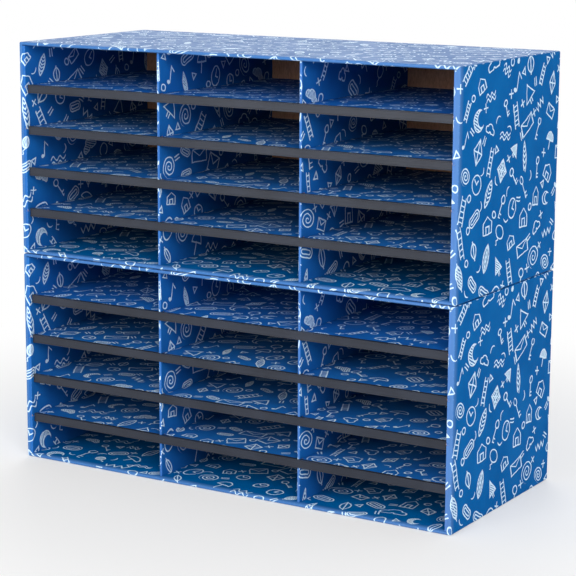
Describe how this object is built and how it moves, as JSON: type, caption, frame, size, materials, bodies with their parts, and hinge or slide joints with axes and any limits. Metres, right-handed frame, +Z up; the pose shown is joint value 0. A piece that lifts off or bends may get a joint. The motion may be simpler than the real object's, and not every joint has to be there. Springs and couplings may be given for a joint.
{
  "type": "mail sorter",
  "caption": "Free-standing corrugated-board mail sorter of stacked open-front units, divided by uprights and removable shelves with plastic edge strips into letter-size slots.",
  "frame": {"origin": "middle of the underside of the lower unit, where the sorter stands", "axes": "+Z up, +X to the right as seen from the open front, -Y out of the open front"},
  "size_m": [0.743, 0.32, 0.648],
  "materials": {
    "printed_board": "matte print",
    "back_board": "printed outside, plain kraft inside",
    "edge_strip": "satin moulded"
  },
  "bodies": {
    "lower_unit": {"lower_case": "printed_board", "lower_back_panel": "back_board", "lower_left_side_support": "printed_board", "lower_right_side_support": "printed_board", "lower_left_divider": "printed_board", "lower_right_divider": "printed_board"},
    "lower_shelf_1": {"lower_shelf_1": "printed_board", "lower_shelf_edge_1": "edge_strip"},
    "lower_shelf_2": {"lower_shelf_2": "printed_board", "lower_shelf_edge_2": "edge_strip"},
    "lower_shelf_3": {"lower_shelf_3": "printed_board", "lower_shelf_edge_3": "edge_strip"},
    "lower_shelf_4": {"lower_shelf_4": "printed_board", "lower_shelf_edge_4": "edge_strip"},
    "upper_unit": {"upper_case": "printed_board", "upper_back_panel": "back_board", "upper_left_side_support": "printed_board", "upper_right_side_support": "printed_board", "upper_left_divider": "printed_board", "upper_right_divider": "printed_board"},
    "upper_shelf_1": {"upper_shelf_1": "printed_board", "upper_shelf_edge_1": "edge_strip"},
    "upper_shelf_2": {"upper_shelf_2": "printed_board", "upper_shelf_edge_2": "edge_strip"},
    "upper_shelf_3": {"upper_shelf_3": "printed_board", "upper_shelf_edge_3": "edge_strip"},
    "upper_shelf_4": {"upper_shelf_4": "printed_board", "upper_shelf_edge_4": "edge_strip"}
  },
  "joints": [
    {"name": "lower_shelf_1_slide", "type": "slide", "parent": "lower_unit", "child": "lower_shelf_1", "axis": [0, -1, 0], "range_m": [0, 0.32]},
    {"name": "lower_shelf_2_slide", "type": "slide", "parent": "lower_unit", "child": "lower_shelf_2", "axis": [0, -1, 0], "range_m": [0, 0.32]},
    {"name": "lower_shelf_3_slide", "type": "slide", "parent": "lower_unit", "child": "lower_shelf_3", "axis": [0, -1, 0], "range_m": [0, 0.32]},
    {"name": "lower_shelf_4_slide", "type": "slide", "parent": "lower_unit", "child": "lower_shelf_4", "axis": [0, -1, 0], "range_m": [0, 0.32]},
    {"name": "upper_shelf_1_slide", "type": "slide", "parent": "upper_unit", "child": "upper_shelf_1", "axis": [0, -1, 0], "range_m": [0, 0.32]},
    {"name": "upper_shelf_2_slide", "type": "slide", "parent": "upper_unit", "child": "upper_shelf_2", "axis": [0, -1, 0], "range_m": [0, 0.32]},
    {"name": "upper_shelf_3_slide", "type": "slide", "parent": "upper_unit", "child": "upper_shelf_3", "axis": [0, -1, 0], "range_m": [0, 0.32]},
    {"name": "upper_shelf_4_slide", "type": "slide", "parent": "upper_unit", "child": "upper_shelf_4", "axis": [0, -1, 0], "range_m": [0, 0.32]},
    {"name": "upper_unit_lift", "type": "slide", "parent": "lower_unit", "child": "upper_unit", "axis": [0, 0, 1], "range_m": [0, 0.15]}
  ]
}
